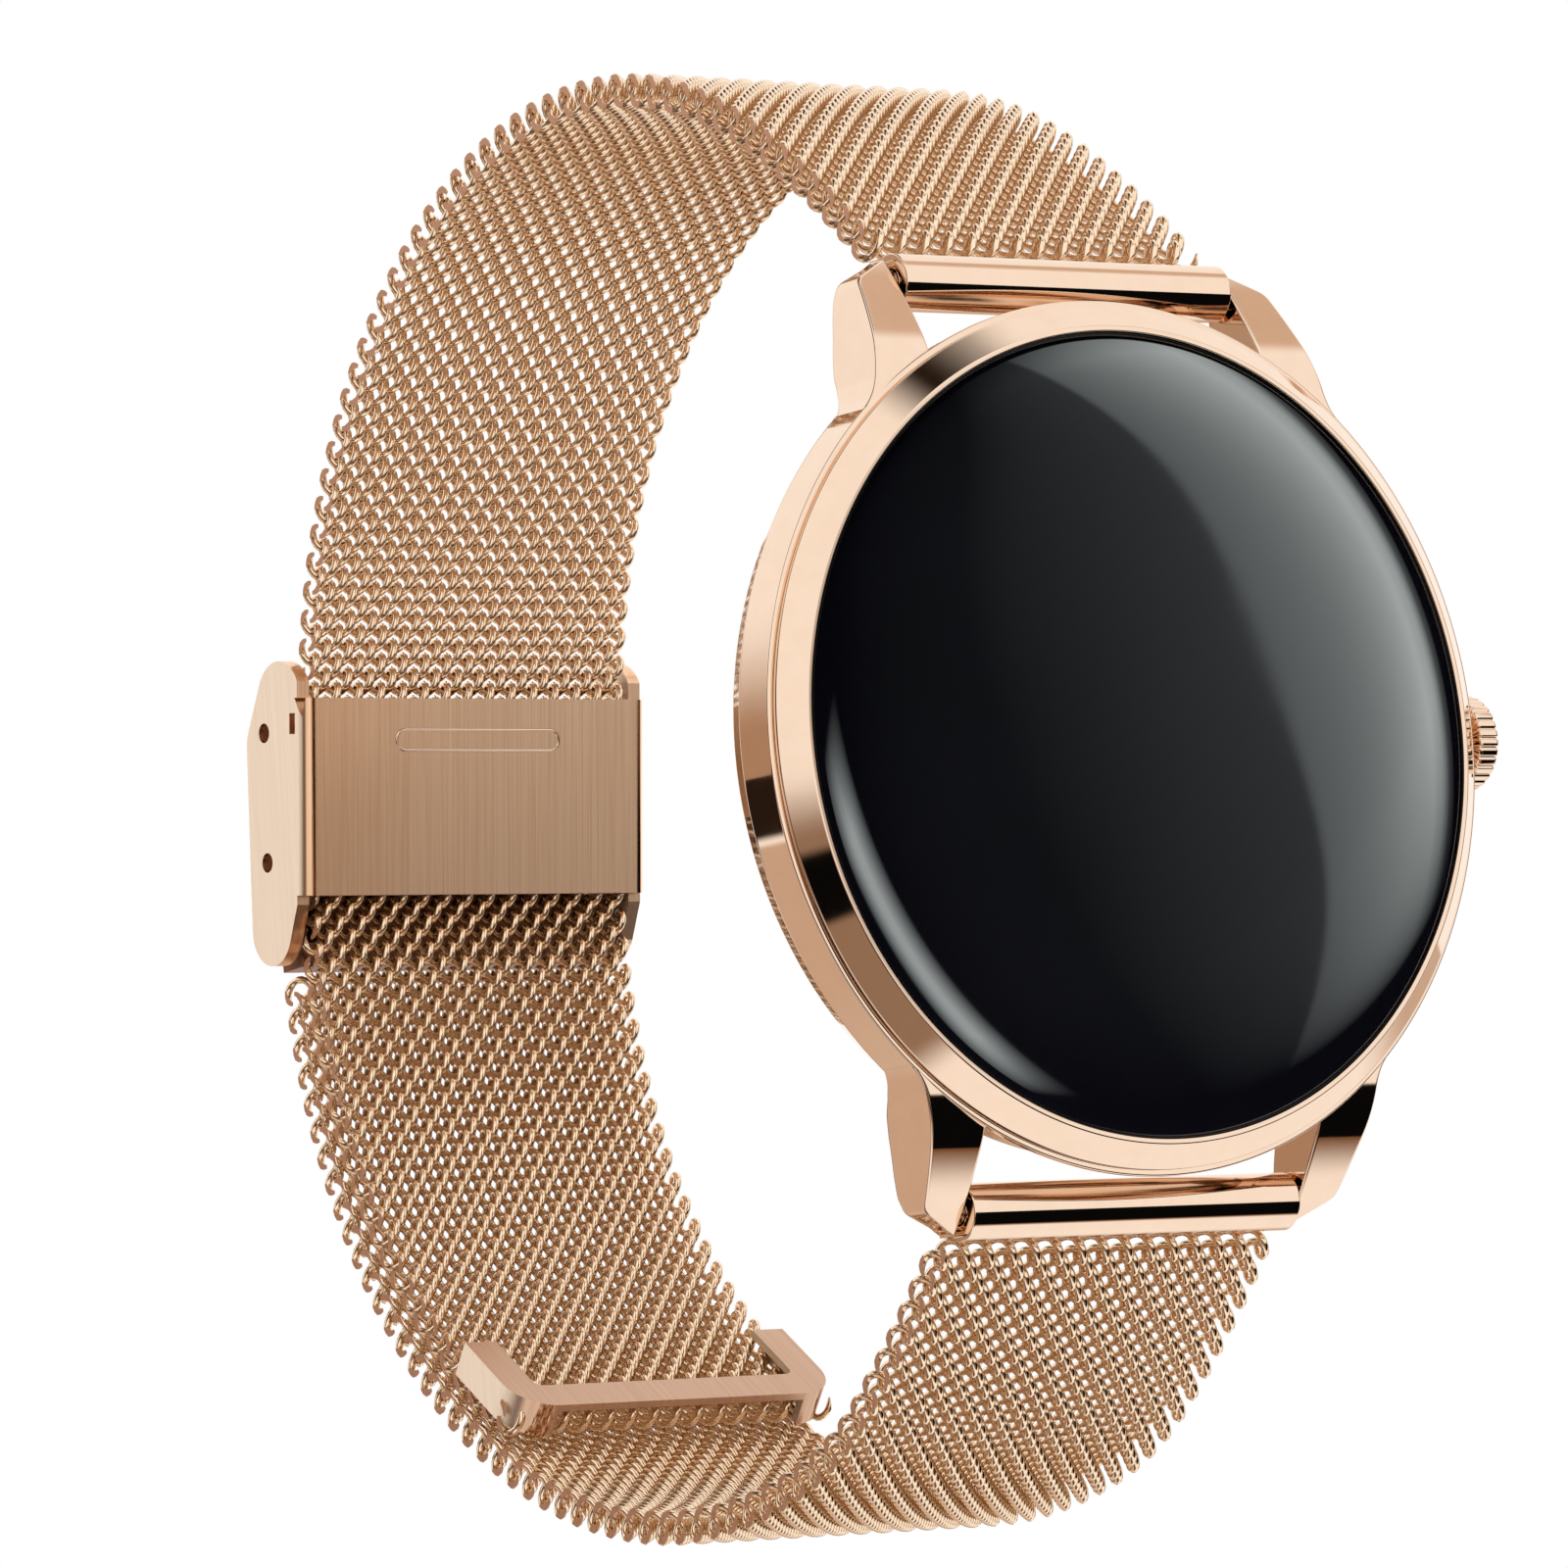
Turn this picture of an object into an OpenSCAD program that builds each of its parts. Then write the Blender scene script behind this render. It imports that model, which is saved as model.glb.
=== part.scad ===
// Round smartwatch on a woven metal mesh strap with a sliding clasp.
// The dial faces -Y, twelve o'clock is +Z and the crown is on +X.
// The origin is the centre of the flat of the case back, where the watch meets the wrist.

/* [Case] */
// Outside diameter of the case
case_d = 42.2; // [42:0.1:42.6]
// Height from the edge of the cover glass to the flat of the case back
case_h = 8.45; // [8.4:0.05:8.6]
// Rise of the domed glass above its own edge
glass_dome = 0.85; // [0.4:0.05:1.2]
// Diameter of the cover glass
glass_d = 38.6; // [38.4:0.1:38.6]
// Gap between a pair of lugs, the standard width of the strap
lug_gap = 20; // [20:0.1:20.4]
// Distance from the dial centre to each spring bar
bar_z = 22.28; // [22.2:0.01:22.4]
// Depth of the spring bar axes behind the dial, measured from the case back
bar_y = -3.77; // [-3.9:0.01:-3.6]

/* [Crown] */
// Diameter of the crown
crown_d = 4.7; // [4.4:0.1:4.8]
// Number of flutes around the crown
crown_flutes = 30; // [24:1:36]
// Height of the crown axis, measured from the case back
crown_y = -4.8; // [-4.9:0.1:-4.7]

/* [Strap] */
// Thickness of the mesh
mesh_t = 1.85; // [1.6:0.05:1.9]
// Width of the mesh
mesh_w = 19.8; // [19.4:0.1:19.8]
// Spacing of the two mesh layers where they run together
layer_pitch = 2.2; // [2.2:0.05:2.3]
// Outside diameter of the tubes at the ends of the strap
end_tube_d = 2.82; // [2.6:0.02:2.9]
// Length of the tubes at the ends of the strap
end_tube_len = 19.5; // [19:0.1:19.7]

/* [Clasp] */
// Length of the clasp floor along the strap
floor_len = 10.4; // [9.8:0.1:10.6]
// Thickness of the clasp floor
floor_t = 0.38; // [0.3:0.02:0.4]
// Thickness of each clasp cheek
cheek_t = 0.75; // [0.6:0.05:0.8]
// Diameter of the two cross pins of the clasp
pin_d = 1; // [0.8:0.1:1]

/* [Hidden] */
$fn = 96;
gap = 0.02;
band_step = 2;

// Colours
rose_gold = [0.80, 0.60, 0.47];
pale_rose = [0.93, 0.80, 0.69];
steel = [0.72, 0.72, 0.74];
black_part = [0.05, 0.05, 0.06];

// Case levels along Y, from the dial to the wrist
case_r = case_d / 2;
glass_r = glass_d / 2;
y_edge = -case_h;
y_seat = -6.95;
y_bezel = -7.47;
y_front = -7.25;
y_skirt = -6.3;
y_panel = -6.35;
y_floor = -5.75;
y_board = -2.7;
y_board_back = -2.1;
y_shield = -1.65;
y_sensor = -1.55;
y_ledge = -2.15;
y_rim = -1.95;
y_back_edge = -1.5;
y_window = -0.9;

// Radii inside the case
cavity_r = 17.6;
skirt_r = 19.5;
back_r = 18.28;
window_r = 11.4;
board_r = 15.1;
chassis_r = 17.4;
screw_ring_r = 16.55;
relief_r = 19.9;

// Lugs, seen from the side: the front slopes back to the tip
lug_tip_z = 23.43;
lug_crease_z = 18.74;
lug_blend = 1.3;
lug_tip_y = -4.17;
lug_in = lug_gap / 2;
lug_taper = 12.4;
lug_wall_x = 13.2;
lug_wall_z = 18.2;
lug_facet = 0.52;
fillet_r = 3;

// Crown along X
cap_in_x = 21.65;
cap_out_x = 22.8;
stem_r = 0.58;
stem_tip_x = 14.6;

// Clasp frame: origin on the inner face of the floor, +Y outward, +Z up along the strap
clasp_y = 50.2;
clasp_z = 4.1;
clasp_tilt = 6.8;
tail_t = 1.42;
outer_t = tail_t + layer_pitch;
upper_bend_s = 5;
lower_bend_s = -3;
cheek_in = 10.1;
cheek_out = cheek_in + cheek_t;
cover_pin = [4.06, 3.36];
hook_pin = [3.73, -3.49];
cover_r = 85;
cover_t = 0.5;
cover_w = 19.9;
bend_r = cheek_t;
pin_reach = cheek_out - 0.12;
cover_centre = [-79.19, 4];

// Strap curves, each turn as [radius of the middle of the mesh, sweep in degrees]
upper_turns = [[31, 50.2], [27.5, 65.6], [58, 13.1]];
lower_turns = [[33.4, 114.2], [17, 23.1], [65, 10]];
tail_turn = [33.4 - layer_pitch, 69.5];
lower_start = 10.6;

// Clip on the end of the tail: a flat U with walls round its outside
clip_w = mesh_w;
clip_len = 6.2;
clip_leg = 1.9;
clip_plate = 0.4;
clip_wall = 0.5;
clip_depth = 1.5;
clip_corner = 2.3;
clip_tilt = 8.5;

// ---- Helpers ----

// Turns a profile drawn as (radius, Y) about the dial axis
module about_dial() rotate([-90, 0, 0]) rotate_extrude() children();

// Stands a drawing made as (Y, Z) up, with its thickness along X
module side_view() rotate([90, 0, 90]) children();

// Lays a drawing made as (X, Z) down, with its thickness along +Y from y
module front_view(y, depth) translate([0, y + depth, 0]) rotate([90, 0, 0])
  linear_extrude(depth) children();

// Moves into the clasp's own frame
module in_clasp() translate([0, clasp_y, clasp_z]) rotate([clasp_tilt, 0, 0]) children();

module rod_x(r, x0, x1) translate([x0, 0, 0]) rotate([0, 90, 0]) cylinder(r = r, h = x1 - x0);

module disc_y(r, y0, y1) translate([0, y0, 0]) rotate([-90, 0, 0]) cylinder(r = r, h = y1 - y0);

module ring_y(r_in, r_out, y0, y1) difference() {
  disc_y(r_out, y0, y1);
  disc_y(r_in, y0 - 1, y1 + 1);
}

module block(x, y, z) translate([x[0], y[0], z[0]])
  cube([x[1] - x[0], y[1] - y[0], z[1] - z[0]]);

// Repeats a part for both ends of the strap
module both_ends() for (side = [-1, 1]) translate([0, bar_y, side * bar_z]) children();

module four_screws() for (turn = [45 : 90 : 315])
  rotate([0, turn, 0]) translate([screw_ring_r, 0, 0]) children();

// Carries its children round one turn of the strap
module after_turn(radius, sweep) translate([-radius, 0, 0]) rotate([0, 0, sweep])
  translate([radius, 0, 0]) children();

// Points beside a chain of turns that leaves its start along +Y and bends towards -X.
// Positive out is on the outside of the bend.
function chain(turns, out, start = [0, 0], heading = 0, i = 0) = i == len(turns) ? [] :
  let (
    radius = turns[i][0], sweep = turns[i][1],
    centre = start - radius * [cos(heading), sin(heading)],
    steps = ceil(sweep / band_step),
    first = i == 0 ? 0 : 1
  )
  concat(
    [for (k = [first : steps]) let (a = heading + sweep * k / steps)
      centre + (radius + out) * [cos(a), sin(a)]],
    chain(turns, out, centre + radius * [cos(heading + sweep), sin(heading + sweep)],
      heading + sweep, i + 1)
  );

function backwards(points) = [for (i = [len(points) - 1 : -1 : 0]) points[i]];

// Lays an outline out as flat mesh of the strap's width
module mesh_sheet(outline) translate([0, 0, -mesh_w / 2]) linear_extrude(mesh_w) polygon(outline);

// ---- Case ----

// Outline of one lug seen from the front, with its hollow fillet into the case
module lug_plan() {
  dir = [-sin(lug_taper), cos(lug_taper)];
  out = [cos(lug_taper), sin(lug_taper)];
  wall = out * [lug_wall_x, lug_wall_z];
  along = sqrt(pow(case_r + fillet_r, 2) - pow(wall + fillet_r, 2));
  hollow = out * (wall + fillet_r) + dir * along;
  on_wall = hollow - out * fillet_r;
  on_case = hollow * case_r / (case_r + fillet_r);
  spread = (lug_wall_x - lug_in - tan(lug_taper) * (lug_tip_z - lug_wall_z))
    / (1 - lug_facet * tan(lug_taper));
  tip = [lug_in + spread, lug_tip_z - lug_facet * spread];
  difference() {
    polygon([[lug_in, 12.5], [lug_in, lug_tip_z], tip, on_wall, hollow, on_case, [12.5, 12.5]]);
    translate(hollow) circle(fillet_r);
  }
}

// Side of one lug as (Y, Z). Its front leaves the case flat and bends smoothly into the slope.
module lug_side() {
  slope = atan2(lug_tip_y - y_front, lug_tip_z - lug_crease_z);
  front_r = lug_blend / tan(slope / 2);
  polygon(concat(
    [[y_front, 14]],
    [for (k = [0 : 8]) let (a = slope * k / 8)
      [y_front + front_r * (1 - cos(a)), lug_crease_z - lug_blend + front_r * sin(a)]],
    [
      [lug_tip_y, lug_tip_z], [-2.95, lug_tip_z], [-2.7, 23.1], [-2.74, 21.2], [-3.1, 19.5],
      [-3.45, 17.6], [-4.9, 15.5], [-4.9, 14]
    ]
  ));
}

module lug() intersection() {
  front_view(-9, 8) lug_plan();
  side_view() linear_extrude(30) lug_side();
}

module case_frame() color(rose_gold) difference() {
  union() {
    about_dial() polygon([
      [skirt_r + gap, y_front], [case_r - 0.1, y_front], [case_r, y_front + 0.1], [case_r, -4.9],
      [20.4, -3.4], [19.4, -1.9], [18.95, y_back_edge], [back_r + gap, y_back_edge],
      [back_r + gap, y_ledge], [cavity_r, y_ledge], [cavity_r, y_skirt + gap],
      [skirt_r + gap, y_skirt + gap]
    ]);
    for (x = [0, 1], z = [0, 1]) mirror([x, 0, 0]) mirror([0, 0, z]) difference() {
      lug();
      disc_y(cavity_r + 0.5, -9, 0);
    }
    four_screws() disc_y(1.25, -3.45, y_rim - gap);
  }
  for (z = [0, 1]) mirror([0, 0, z]) difference() {
    block([-lug_in, lug_in], [-6.85, 0], [14, 30]);
    disc_y(relief_r, -9, 1);
  }
  ring_y(cavity_r, skirt_r + gap, -9, y_skirt + gap);
  both_ends() rod_x(0.45, -11.4, 11.4);
  four_screws() disc_y(0.5, -3.3, -1);
  translate([0, crown_y, 0]) rod_x(1, 16, 25);
}

module bezel_ring() color(rose_gold) about_dial() polygon([
  [glass_r + 0.12, y_edge - 0.03], [glass_r + 0.3, y_edge - 0.06], [20.8, y_bezel],
  [20.8, y_bezel + 0.09], [20.45, y_bezel + 0.09], [20.45, y_front], [skirt_r, y_front],
  [skirt_r, y_skirt], [18.1, y_skirt], [18.1, y_seat], [glass_r + 0.12, y_seat]
]);

module glass_gasket() color("black") about_dial() polygon([
  [18.2, y_seat - 0.01], [glass_r + 0.1, y_seat - 0.01], [glass_r + 0.1, y_edge + 0.15],
  [glass_r + 0.01, y_edge + 0.15], [glass_r + 0.01, y_seat - 0.19], [18.2, y_seat - 0.19]
]);

module cover_glass() color(black_part) about_dial() {
  dome_r = (glass_r * glass_r + glass_dome * glass_dome) / (2 * glass_dome);
  apex = y_edge - glass_dome;
  intersection() {
    translate([0, apex + dome_r]) circle(dome_r, $fn = 720);
    translate([0, apex - 1]) square([glass_r, y_seat - 0.2 - apex + 1]);
  }
}

module display_panel() color("black") disc_y(17.5, y_seat - 0.2, y_panel);

module display_flex() color("orange") union() {
  block([-15.3, -11], [y_panel, y_panel + 0.1], [-4, 4]);
  block([-15.3, -15.2], [y_panel, y_board], [-4, 4]);
  block([-15.3, -12.6], [y_board - 0.1, y_board], [-4, 4]);
}

module inner_chassis() color("dimgray") difference() {
  union() {
    ring_y(15.9, chassis_r, -6.2, -3.6);
    disc_y(16.2, -6.2, y_floor);
    for (x = [-13, 12.3], z = [-6.5, 6.5]) translate([x, 0, z]) disc_y(0.8, y_floor - 0.1, y_board);
  }
  block([11.3, 20], [-9, 0], [-2.3, 2.3]);
  block([-16, -13.9], [-9, -4], [-4.6, 4.6]);
}

module battery_cell() color("silver") front_view(y_floor, 2.6)
  rounded_rect([-11.5, 10.5], [-9.8, 7.4], 1);

module vibration_motor() color(steel) translate([-2, 0, 11.6]) disc_y(3.2, y_floor, -3.2);

module main_board() color("darkgreen") disc_y(board_r, y_board, y_board_back);

module board_chips() color("black") {
  block([-13.2, -10.2], [y_board_back, -1.6], [-2.5, 2.5]);
  block([10.2, 12.6], [y_board_back, -1.6], [3, 6.5]);
  block([10.2, 13], [y_board_back, -1.6], [-6, -2]);
  block([-3, 2], [y_board_back, -1.6], [10.4, 13]);
  block([-2.2, 1.4], [y_board_back, -1.6], [-13.2, -10.4]);
}

module board_shield() color(steel) block([-7, 6], [y_board_back, y_shield], [-5.5, 5.5]);

module sensor_board() color("darkgreen") disc_y(9.3, y_sensor, y_sensor + 0.25);

module sensor_leds() color("palegreen") for (z = [-2.4, 0, 2.4])
  block([-0.8, 0.8], [y_sensor + 0.25, y_window - 0.05], [z - 0.6, z + 0.6]);

module sensor_photodiodes() color("slategray") for (x = [-5, 3])
  block([x, x + 2], [y_sensor + 0.25, y_window - 0.05], [-1.5, 1.5]);

module case_back() color(rose_gold) difference() {
  about_dial() polygon([
    [10.2, -1.2], [14.9, -1.2], [14.9, y_rim], [back_r, y_rim], [back_r, y_back_edge],
    [17.6, -1], [15.5, -0.3], [14.2, 0], [window_r + 0.05, 0], [window_r + 0.05, y_window],
    [10.2, y_window]
  ]);
  for (r = [12.3, 13.3]) ring_y(r, r + 0.4, -0.5, 1);
  four_screws() {
    disc_y(1.1, -1.25, 1);
    disc_y(0.55, -3, 1);
  }
}

module back_gasket() color("black") ring_y(17.85, 18.2, y_ledge, y_rim);

module back_screws() color(steel) four_screws() difference() {
  union() {
    disc_y(1.05, -1.25, -0.75);
    disc_y(0.48, -3.2, -1.25);
  }
  translate([0, -1, 0]) rotate([-90, 0, 0]) cylinder(r = 0.55, h = 1, $fn = 6);
}

module sensor_window() color(black_part) about_dial() {
  rise = 1.05;
  dome_r = (window_r * window_r + rise * rise) / (2 * rise);
  intersection() {
    translate([0, rise - 0.05 - dome_r]) circle(dome_r, $fn = 720);
    translate([0, y_window]) square([window_r, 3]);
  }
}

module charging_rings() color("gold") for (r = [12.3, 13.3]) ring_y(r, r + 0.4, -0.5, 0);

// ---- Crown ----

module on_crown() translate([0, crown_y, 0]) children();

module crown_tube() color(steel) on_crown() difference() {
  rod_x(0.99, 17, 21.2);
  rod_x(0.62, 16, 22);
  rod_x(0.85, 20.6, 22);
}

module crown_seal() color("black") on_crown() translate([20.9, 0, 0]) rotate([0, 90, 0])
  rotate_extrude() translate([0.718, 0]) circle(0.13, $fn = 24);

module crown_switch() color("darkslategray") on_crown() union() {
  block([12.4, 14], [-0.75, y_board - crown_y], [-1.6, 1.6]);
  rod_x(0.5, 14, 14.2);
}

module encoder_wheel() color("white") on_crown() difference() {
  union() {
    rod_x(1.25, 15.6, 15.9);
    rod_x(0.9, 15.9, 16.2);
  }
  rod_x(stem_r + 0.03, 15, 17);
  for (turn = [0 : 30 : 330]) rotate([turn, 0, 0]) translate([0, 1.25, 0]) rod_x(0.14, 15, 15.9);
}

module crown() color(pale_rose) on_crown() union() {
  difference() {
    rotate([0, 90, 0]) rotate_extrude() polygon([
      [0, cap_in_x], [crown_d / 2 - 0.15, cap_in_x], [crown_d / 2, cap_in_x + 0.15],
      [crown_d / 2, cap_out_x - 0.12], [crown_d / 2 - 0.12, cap_out_x], [0, cap_out_x]
    ]);
    for (i = [1 : crown_flutes]) rotate([i * 360 / crown_flutes, 0, 0])
      translate([0, crown_d / 2 + 0.03, 0]) rod_x(0.14, 21, 23, $fn = 16);
  }
  rod_x(stem_r, stem_tip_x, cap_in_x);
}

module stem_clip() color(steel) on_crown() difference() {
  rod_x(1.1, 16.7, 16.9);
  rod_x(stem_r, 16, 18);
  block([16, 18], [0, 2], [-0.3, 0.3]);
}

// ---- Spring bars ----

module spring_bar_barrels() color(pale_rose) both_ends() difference() {
  rod_x(0.6, -9.85, 9.85);
  rod_x(0.42, -11, 11);
}

module spring_bar_tips() color(steel) both_ends() for (side = [0, 1]) mirror([side, 0, 0])
  rod_x(0.4, 7.5, 11.2);

// Each coil spring is a plain sleeve of the coil's own inside and outside diameter
module spring_bar_springs() color(steel) both_ends() difference() {
  rod_x(0.38, -7.4, 7.4);
  rod_x(0.24, -8, 8);
}

// ---- Strap ----

module end_tube() color(rose_gold) difference() {
  rod_x(end_tube_d / 2, -end_tube_len / 2, end_tube_len / 2);
  rod_x(0.66, -20, 20);
}

module upper_end_tube() translate([0, bar_y, bar_z]) end_tube();

module lower_end_tube() translate([0, bar_y, -bar_z]) end_tube();

module tube_space() both_ends() rod_x(end_tube_d / 2, -20, 20);

module upper_mesh() color(rose_gold) difference() {
  in_clasp() side_view() mesh_sheet(concat(
    [for (p = chain(upper_turns, mesh_t / 2)) [tail_t, upper_bend_s] + p],
    [for (p = backwards(chain(upper_turns, -mesh_t / 2))) [tail_t, upper_bend_s] + p],
    [for (p = chain([tail_turn], -mesh_t / 2)) [tail_t + p[0], lower_bend_s - p[1]]],
    [for (p = backwards(chain([tail_turn], mesh_t / 2))) [tail_t + p[0], lower_bend_s - p[1]]]
  ));
  tube_space();
  in_tail_clip() difference() {
    translate([-1, -3, -15]) cube([4, clip_len + 3.2, 30]);
    clip_layer(-2, 6) clip_inside(0);
  }
}

module lower_mesh() color(rose_gold) difference() {
  turns = [
    [lower_turns[0][0], lower_turns[0][1] - lower_start], lower_turns[1], lower_turns[2]
  ];
  in_lower_path() after_turn(lower_turns[0][0], lower_start)
    mesh_sheet(concat(chain(turns, mesh_t / 2), backwards(chain(turns, -mesh_t / 2))));
  tube_space();
}

// Frame where the lower half leaves the clasp: +X outward, +Y along the mesh, Z across it
module in_lower_path() in_clasp() side_view()
  translate([outer_t, lower_bend_s, 0]) mirror([0, 1, 0]) children();

// Frame on the inner face of the tail's end: +X outward, +Y back to the clasp, Z across it
module in_tail_clip() in_clasp() side_view() translate([tail_t, lower_bend_s, 0])
  mirror([0, 1, 0]) after_turn(tail_turn[0], tail_turn[1])
  translate([-mesh_t / 2, 0, 0]) mirror([0, 1, 0]) rotate([0, 0, clip_tilt]) children();

// Turns a drawing made as (across, along) into a layer of the clip
module clip_layer(from, depth) translate([from, 0, 0]) rotate([0, 90, 0])
  linear_extrude(depth) children();

module rounded_rect(x, y, r) {
  translate([x[0] + r, y[0]]) square([x[1] - x[0] - 2 * r, y[1] - y[0]]);
  translate([x[0], y[0] + r]) square([x[1] - x[0], y[1] - y[0] - 2 * r]);
  for (cx = [x[0] + r, x[1] - r], cy = [y[0] + r, y[1] - r]) translate([cx, cy]) circle(r);
}

// Outline of the tail clip, drawn in from its edge by inset
module clip_outline(inset) intersection() {
  rounded_rect([inset - clip_w / 2, clip_w / 2 - inset], [inset, 2 * clip_len], clip_corner - inset);
  translate([-20, -1]) square([40, clip_len + 1]);
}

// Space for the mesh between the walls of the clip, open along its front edge
module clip_inside(inset) union() {
  clip_outline(clip_wall + inset);
  translate([clip_corner - clip_w / 2, 0]) square([clip_w - 2 * clip_corner, clip_len]);
  translate([clip_wall + inset - clip_w / 2, clip_len / 2]) square([clip_w - 2 * clip_wall - 2 * inset, 9]);
}

module tail_clip() color(rose_gold) in_tail_clip() {
  clip_layer(-clip_plate, clip_plate) difference() {
    clip_outline(0);
    rounded_rect([clip_leg - clip_w / 2, clip_w / 2 - clip_leg], [clip_leg, 3 * clip_len], 0.5);
  }
  clip_layer(0, clip_depth) difference() {
    clip_outline(0);
    clip_inside(0);
  }
}

// ---- Clasp ----

// Side of one cheek as (outward, up)
module cheek_side() intersection() {
  hull() {
    translate([2.6, 5]) circle(2.15, $fn = 48);
    translate([3.6, 2.6]) circle(2.2, $fn = 48);
    translate([3.3, -7]) circle(1.95, $fn = 48);
    translate([1, -5.35]) circle(0.35, $fn = 24);
  }
  translate([bend_r, -20]) square(40);
}

module clasp_base() color(pale_rose) in_clasp() difference() {
  union() {
    translate([0, 0, -floor_len / 2]) linear_extrude(floor_len) {
      translate([-cheek_in, 0]) square([2 * cheek_in, floor_t]);
      for (side = [0, 1]) mirror([side, 0]) intersection() {
        translate([cheek_in, bend_r]) circle(bend_r);
        translate([cheek_in, 0]) square(bend_r);
      }
    }
    for (x = [-cheek_out, cheek_in]) side_view() translate([0, 0, x])
      linear_extrude(cheek_t) cheek_side();
  }
  for (pin = [cover_pin, hook_pin]) translate([0, pin[0], pin[1]])
    rod_x(pin_d / 2 + gap, -20, 20);
  block([-20, 20], [0.95, 1.5], [3.3, 4.4]);
  side_view() translate([0, 0, -20]) linear_extrude(40)
    polygon([[floor_t, floor_len / 2 - 1], [1, floor_len / 2], [floor_t - 0.15, floor_len / 2]]);
  front_view(-1, 1.08) translate([0, 3]) difference() {
    rounded_rect([-5.2, 5.2], [-0.62, 0.62], 0.61);
    rounded_rect([-5.05, 5.05], [-0.47, 0.47], 0.46);
  }
}

module hook_bar() color(steel) in_clasp() translate([0, hook_pin[0], hook_pin[1]])
  rod_x(pin_d / 2, -pin_reach, pin_reach);

module clasp_pin() color(steel) in_clasp() translate([0, cover_pin[0], cover_pin[1]])
  rod_x(pin_d / 2, -pin_reach, pin_reach);

module hinge_hole() translate(cover_pin) circle(pin_d / 2 + 0.03);

module clasp_cover() color(pale_rose) in_clasp() side_view() {
  translate([0, 0, -cover_w / 2]) linear_extrude(cover_w) intersection() {
    difference() {
      translate(cover_centre) circle(cover_r, $fn = 720);
      translate(cover_centre) circle(cover_r - cover_t, $fn = 720);
    }
    translate([0, -8.2]) square([10, 10.8]);
  }
  for (z = [-cover_w / 2, 6]) translate([0, 0, z]) linear_extrude(cover_w / 2 - 6) difference() {
    union() {
      translate(cover_pin) circle(1.25);
      polygon([[4.06, 2.1], [5.3, 1.2], [5.6, 1.2], [5.75, 2.8], [5.2, 3.9], [4.06, 4.61]]);
    }
    hinge_hole();
  }
}

module lock_lever() color(steel) in_clasp() side_view() translate([0, 0, -5.7]) difference() {
  union() {
    linear_extrude(11.4) translate(cover_pin) circle(1.2);
    linear_extrude(11.4) polygon([
      [4.35, 2.6], [4.35, -1.3], [2.6, -1.3], [2.5, -1.1], [2.6, -0.9], [2.5, -0.7],
      [3.9, -0.4], [3.9, 2.6]
    ]);
  }
  translate([0, 0, -1]) linear_extrude(14) hinge_hole();
}

module hook_plate() color(steel) {
  in_lower_path() after_turn(lower_turns[0][0], lower_start)
    translate([-0.95, -1.3, -9.7]) cube([1.9, 1.3, 19.4]);
  in_clasp() {
    block([-8, 8], [2.65, 3.05], [-8.3, -2.5]);
    block([-8, 8], [3, 3.15], [-2.9, -2.5]);
  }
}

case_frame();
bezel_ring();
glass_gasket();
cover_glass();
display_panel();
display_flex();
inner_chassis();
battery_cell();
vibration_motor();
main_board();
board_chips();
board_shield();
sensor_board();
sensor_leds();
sensor_photodiodes();
case_back();
back_gasket();
back_screws();
sensor_window();
charging_rings();
crown_tube();
crown_seal();
crown_switch();
encoder_wheel();
crown();
stem_clip();
spring_bar_barrels();
spring_bar_tips();
spring_bar_springs();
upper_end_tube();
upper_mesh();
tail_clip();
clasp_base();
hook_bar();
clasp_pin();
clasp_cover();
lock_lever();
lower_end_tube();
lower_mesh();
hook_plate();
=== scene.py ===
"""Looks for the round smartwatch on a woven mesh strap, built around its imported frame."""
import math

import bmesh
import bpy
import numpy as np
from mathutils import Matrix, Vector


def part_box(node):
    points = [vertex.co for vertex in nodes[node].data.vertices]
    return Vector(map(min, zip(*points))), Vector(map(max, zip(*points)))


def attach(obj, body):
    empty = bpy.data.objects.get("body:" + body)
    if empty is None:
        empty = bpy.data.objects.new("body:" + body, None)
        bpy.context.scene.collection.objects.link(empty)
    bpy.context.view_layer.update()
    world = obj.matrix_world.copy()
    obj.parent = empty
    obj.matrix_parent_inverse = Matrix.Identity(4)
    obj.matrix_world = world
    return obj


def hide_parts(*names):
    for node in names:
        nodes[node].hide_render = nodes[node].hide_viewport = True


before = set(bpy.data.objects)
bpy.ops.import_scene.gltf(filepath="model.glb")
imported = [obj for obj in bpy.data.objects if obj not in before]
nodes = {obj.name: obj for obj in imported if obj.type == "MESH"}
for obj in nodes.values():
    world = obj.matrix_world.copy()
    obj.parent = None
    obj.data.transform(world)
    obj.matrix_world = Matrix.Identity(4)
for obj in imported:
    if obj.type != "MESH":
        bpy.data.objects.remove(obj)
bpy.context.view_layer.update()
MM = 0.001

# ---- Strap, in millimetres and degrees, as the CAD model lays it out ----
# Where the clasp's frame sits behind the case, and its lean
CLASP_Y, CLASP_Z, CLASP_TILT = 50.2, 4.1, math.radians(6.8)
# In that frame: how far out the tail lies, the step to the next layer, and the heights where the bends begin
TAIL_T, LAYER_PITCH = 1.42, 2.2
UPPER_BEND_S, LOWER_BEND_S = 5.0, -3.0
# Turns of the loop away from the clasp, as (radius, sweep)
UPPER_TURNS = [(31.0, 50.2), (27.5, 65.6), (58.0, 13.1)]
LOWER_TURNS = [(33.4, 114.2), (17.0, 23.1), (65.0, 10.0)]
TAIL_TURNS = [(33.4 - LAYER_PITCH, 69.5)]
# Sweep of the first lower turn before the mesh begins
LOWER_START = 10.6
PATH_STEP = 0.02
MESH_WIDTH = 19.8
# Length of each path before its first coil's centre and after its last one's
UPPER_BARE, LOWER_BARE = (1.3, 1.6), (1.2, 1.6)

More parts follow.
